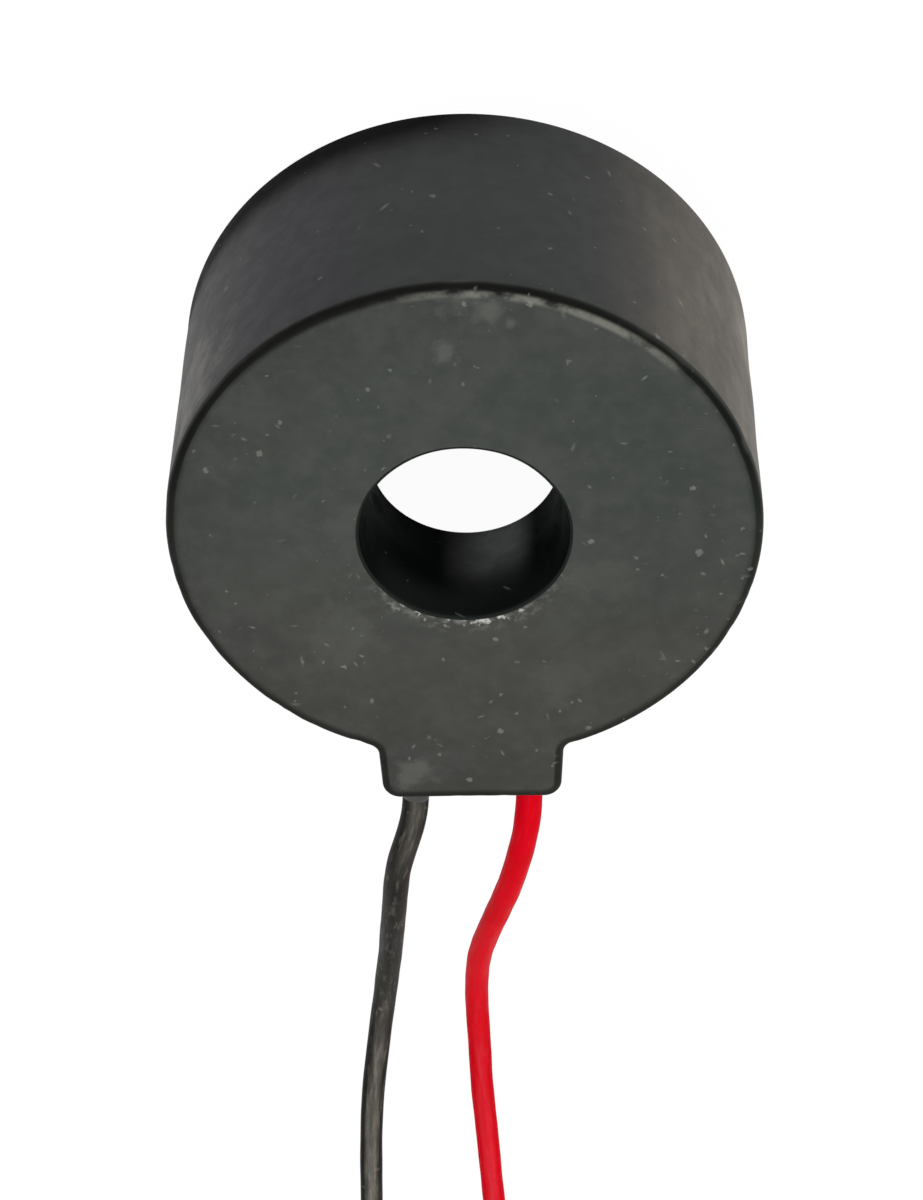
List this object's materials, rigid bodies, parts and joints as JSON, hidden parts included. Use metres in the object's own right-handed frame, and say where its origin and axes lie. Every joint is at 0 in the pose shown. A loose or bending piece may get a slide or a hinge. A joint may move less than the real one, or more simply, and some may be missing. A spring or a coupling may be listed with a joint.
{
  "type": "current transformer",
  "caption": "Potted ring-core current transformer in a deep round black cup, with a through bore and a squared nose that two flexible leads come out of.",
  "frame": {"origin": "on the bore axis, in the plane of the cup's back rim, which the part lies on", "axes": "+Z along the bore towards the front face, -Y towards the nose and the leads, -X on the black lead's side"},
  "size_m": [0.0377, 0.0946, 0.0132],
  "materials": {
    "cup_plastic": "satin moulded plastic, dark greenish grey, scuffed",
    "core_strip": "wound metal strip, edge on",
    "box_plastic": "natural moulded plastic",
    "soft_ring": "matt silicone foam",
    "enamelled_copper": "glossy copper wire enamel",
    "winding_tape": "glossy polyester tape",
    "potting_resin": "cast black epoxy, smooth",
    "resin_bead": "cured resin, satin",
    "black_insulation": "soft PVC wire insulation, satin, slightly grimy",
    "red_insulation": "soft PVC wire insulation, satin",
    "tinned_copper": "tinned copper strands, twisted",
    "solder": "smooth solder",
    "tie_plastic": "milky nylon"
  },
  "bodies": {
    "root": {"case": "cup_plastic", "core": "core_strip", "core_box_base": "box_plastic", "core_box_lid": "box_plastic", "core_cushion": "soft_ring", "winding": "enamelled_copper", "winding_tape": "winding_tape", "potting": "potting_resin", "exit_bead": "resin_bead", "black_lead": "black_insulation", "black_strands": "tinned_copper", "black_solder_joint": "solder", "red_lead": "red_insulation", "red_strands": "tinned_copper", "red_solder_joint": "solder", "black_lead_run": "black_insulation", "black_lead_coil": "black_insulation", "black_coil_tie": "tie_plastic", "black_lead_tip": "tinned_copper", "red_lead_run": "red_insulation", "red_lead_coil": "red_insulation", "red_coil_tie": "tie_plastic", "red_lead_tip": "tinned_copper"}
  },
  "joints": []
}
